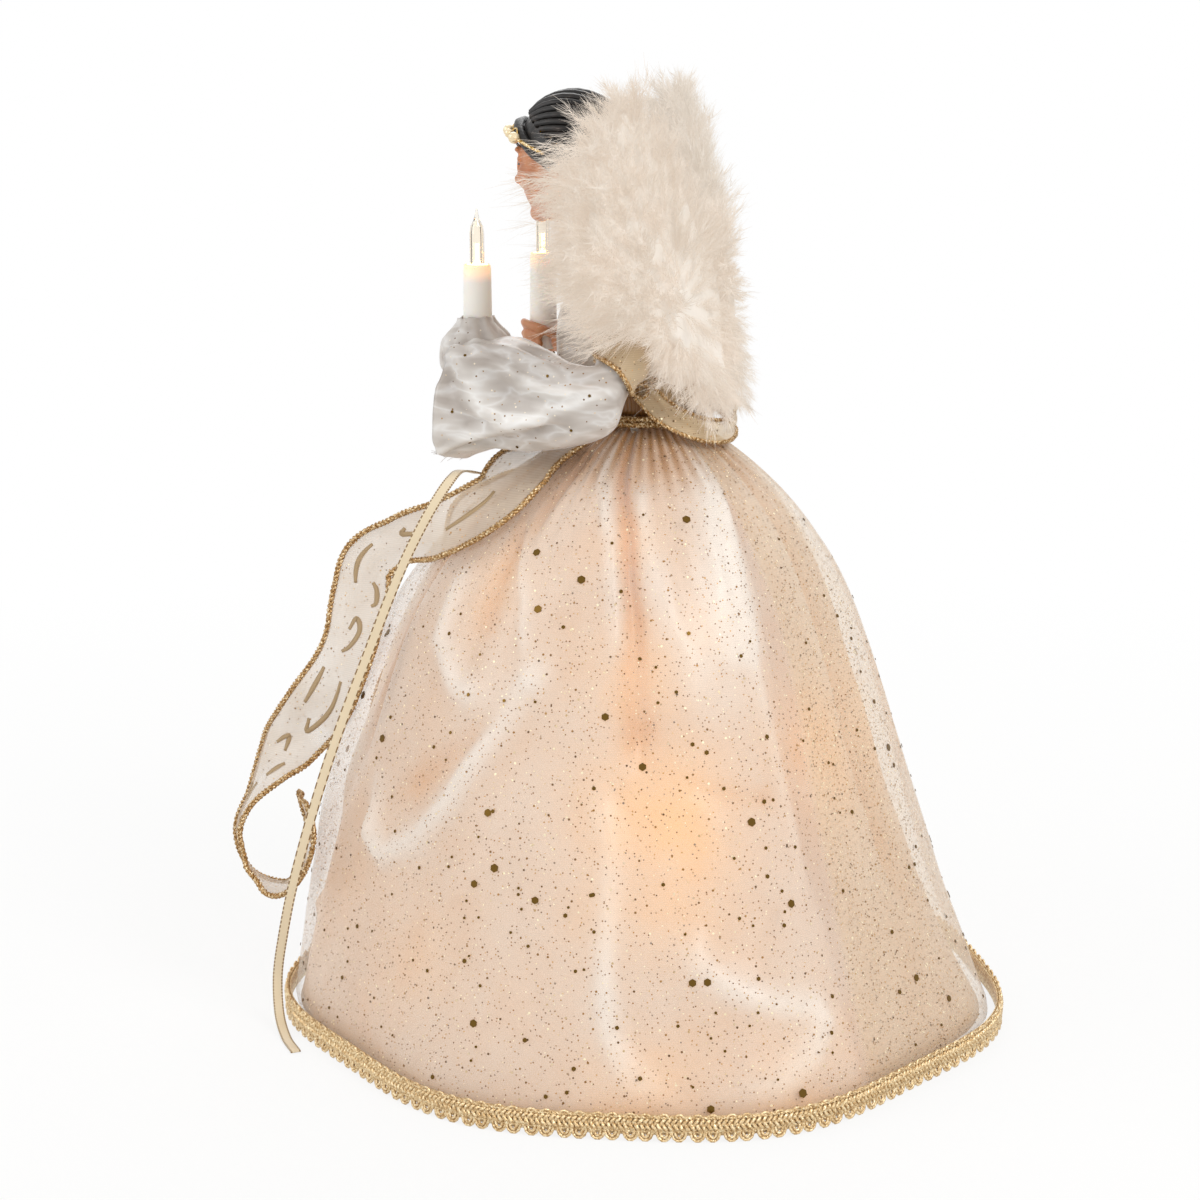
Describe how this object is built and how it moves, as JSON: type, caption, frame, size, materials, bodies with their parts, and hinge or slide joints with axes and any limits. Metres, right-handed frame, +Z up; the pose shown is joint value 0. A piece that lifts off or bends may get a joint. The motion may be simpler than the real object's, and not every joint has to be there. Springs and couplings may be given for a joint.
{
  "type": "angel tree topper",
  "caption": "Lighted angel tree topper: a hollow cone under a bell skirt with a wide hem, a slim torso with bell sleeves, candles in both hands, feather wings and long ribbon streamers.",
  "frame": {"origin": "centre of the cone's open foot, on the plane of the skirt's hem", "axes": "+Z up along the cone, -Y the way the figure faces, +X its left side"},
  "size_m": [0.2379, 0.2504, 0.2991],
  "materials": {
    "white_plastic": "satin",
    "lamp_plastic": "satin",
    "glass": "clear",
    "foam": "matte foam",
    "painted_face": "painted, low gloss",
    "hair": "combed fibre, glossy",
    "gold_cord": "metallic twisted cord",
    "gold_wire": "polished",
    "ivory_satin": "satin",
    "white_satin": "satin",
    "organza": "sheer, with glitter",
    "satin_ribbon": "satin",
    "gimp_braid": "metallic gimp",
    "feather": "soft marabou",
    "stem_wire": "bare wire"
  },
  "bodies": {
    "figure": {"cone": "white_plastic", "underskirt": "ivory_satin", "overskirt": "organza", "hem_braid": "gimp_braid", "waist_cord": "gold_cord", "lamp_holder_1": "lamp_plastic", "lamp_holder_2": "lamp_plastic", "lamp_holder_3": "lamp_plastic", "lamp_holder_4": "lamp_plastic", "lamp_holder_5": "lamp_plastic", "lamp_holder_6": "lamp_plastic", "lamp_holder_7": "lamp_plastic", "lamp_holder_8": "lamp_plastic", "lamp_lead": "white_plastic", "torso": "foam", "bodice": "ivory_satin", "sash": "organza", "sash_loop": "organza", "streamer_left": "organza", "streamer_right": "organza", "tie_ribbon": "satin_ribbon", "head": "painted_face", "hair": "hair", "tiara": "gold_wire", "wing_plate": "foam"},
    "arm_left": {"arm_left": "foam", "sleeve_left": "white_satin", "hand_left": "painted_face", "candle_left": "white_plastic", "candle_holder_left": "lamp_plastic"},
    "candle_light_left": {"candle_base_left": "lamp_plastic", "candle_bulb_left": "glass"},
    "arm_right": {"arm_right": "foam", "sleeve_right": "white_satin", "hand_right": "painted_face", "candle_right": "white_plastic", "candle_holder_right": "lamp_plastic"},
    "candle_light_right": {"candle_base_right": "lamp_plastic", "candle_bulb_right": "glass"},
    "wing_left": {"wing_left": "feather", "wing_stem_left": "stem_wire"},
    "wing_right": {"wing_right": "feather", "wing_stem_right": "stem_wire"},
    "lamp_1": {"lamp_base_1": "lamp_plastic", "lamp_bulb_1": "glass"},
    "lamp_2": {"lamp_base_2": "lamp_plastic", "lamp_bulb_2": "glass"},
    "lamp_3": {"lamp_base_3": "lamp_plastic", "lamp_bulb_3": "glass"},
    "lamp_4": {"lamp_base_4": "lamp_plastic", "lamp_bulb_4": "glass"},
    "lamp_5": {"lamp_base_5": "lamp_plastic", "lamp_bulb_5": "glass"},
    "lamp_6": {"lamp_base_6": "lamp_plastic", "lamp_bulb_6": "glass"},
    "lamp_7": {"lamp_base_7": "lamp_plastic", "lamp_bulb_7": "glass"},
    "lamp_8": {"lamp_base_8": "lamp_plastic", "lamp_bulb_8": "glass"}
  },
  "joints": [
    {"name": "shoulder_left", "type": "hinge", "parent": "figure", "child": "arm_left", "pos_m": [0.0195, 0.001, 0.229], "axis": [-1, 0, 0], "range_deg": [0, 15]},
    {"name": "candle_light_left_pull", "type": "slide", "parent": "arm_left", "child": "candle_light_left", "axis": [0, 0, 1], "range_m": [0, 0.018]},
    {"name": "shoulder_right", "type": "hinge", "parent": "figure", "child": "arm_right", "pos_m": [-0.0195, 0.001, 0.229], "axis": [-1, 0, 0], "range_deg": [0, 15]},
    {"name": "candle_light_right_pull", "type": "slide", "parent": "arm_right", "child": "candle_light_right", "axis": [0, 0, 1], "range_m": [0, 0.018]},
    {"name": "wing_left_bend", "type": "hinge", "parent": "figure", "child": "wing_left", "pos_m": [0.0075, 0.0181, 0.229], "axis": [0, 0, 1], "range_deg": [-4, 8]},
    {"name": "wing_right_bend", "type": "hinge", "parent": "figure", "child": "wing_right", "pos_m": [-0.0075, 0.0181, 0.229], "axis": [0, 0, -1], "range_deg": [0, 8]},
    {"name": "lamp_1_pull", "type": "slide", "parent": "figure", "child": "lamp_1", "axis": [0.9067, 0.3755, 0.1921], "range_m": [0, 0.012]},
    {"name": "lamp_2_pull", "type": "slide", "parent": "figure", "child": "lamp_2", "axis": [0.3755, 0.9067, 0.1921], "range_m": [0, 0.012]},
    {"name": "lamp_3_pull", "type": "slide", "parent": "figure", "child": "lamp_3", "axis": [-0.3755, 0.9067, 0.1921], "range_m": [0, 0.012]},
    {"name": "lamp_4_pull", "type": "slide", "parent": "figure", "child": "lamp_4", "axis": [-0.9067, 0.3755, 0.1921], "range_m": [0, 0.012]},
    {"name": "lamp_5_pull", "type": "slide", "parent": "figure", "child": "lamp_5", "axis": [-0.9067, -0.3755, 0.1921], "range_m": [0, 0.012]},
    {"name": "lamp_6_pull", "type": "slide", "parent": "figure", "child": "lamp_6", "axis": [-0.3755, -0.9067, 0.1921], "range_m": [0, 0.012]},
    {"name": "lamp_7_pull", "type": "slide", "parent": "figure", "child": "lamp_7", "axis": [0.3755, -0.9067, 0.1921], "range_m": [0, 0.012]},
    {"name": "lamp_8_pull", "type": "slide", "parent": "figure", "child": "lamp_8", "axis": [0.9067, -0.3755, 0.1921], "range_m": [0, 0.012]}
  ]
}
